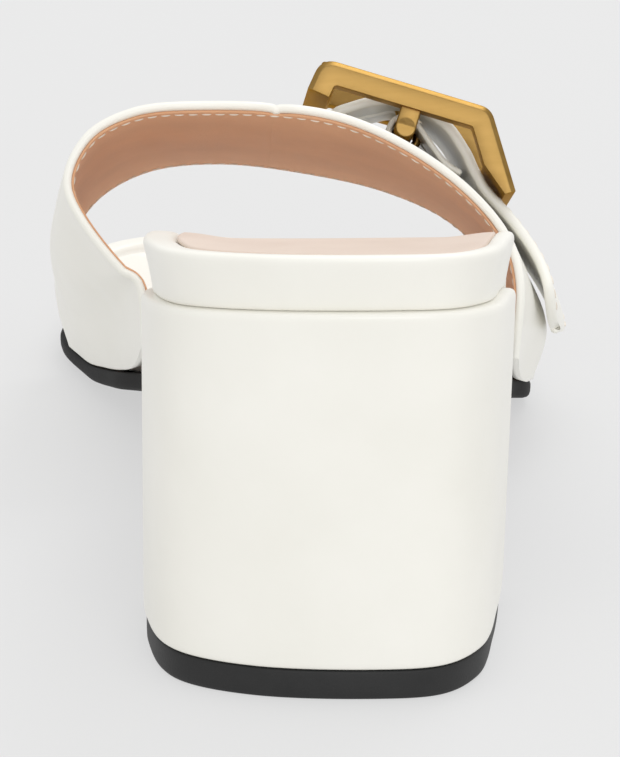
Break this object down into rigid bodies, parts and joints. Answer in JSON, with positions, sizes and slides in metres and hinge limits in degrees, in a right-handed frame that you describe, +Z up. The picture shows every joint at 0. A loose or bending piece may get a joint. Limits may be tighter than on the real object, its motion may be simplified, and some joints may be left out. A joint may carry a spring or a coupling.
{
  "type": "block-heel mule shoe",
  "caption": "Open-toe slip-on mule with a broad leather band, a tall block heel, a wrapped footbed and an overlay strap through a large rectangular buckle.",
  "frame": {"origin": "middle of the heel's tread, on the plane the shoe stands on", "axes": "+Y to the toe, +X to the outer side of the right foot, +Z up"},
  "size_m": [0.0901, 0.2246, 0.0763],
  "materials": {
    "white_leather": "smooth satin off-white leather",
    "tan_lining": "matt tan lining leather",
    "blush_sock": "matt blush leather",
    "black_sole": "matt black",
    "black_top_lift": "matt black",
    "gold_metal": "satin light gold plating",
    "white_thread": "stitching thread"
  },
  "bodies": {
    "root": {"outsole": "black_sole", "heel_block": "white_leather", "heel_top_lift": "black_top_lift", "footbed": "white_leather", "sock": "blush_sock", "upper": "white_leather", "buckle_strap": "white_leather", "buckle_loop": "white_leather", "buckle_frame": "gold_metal", "buckle_prong": "gold_metal"}
  },
  "joints": []
}
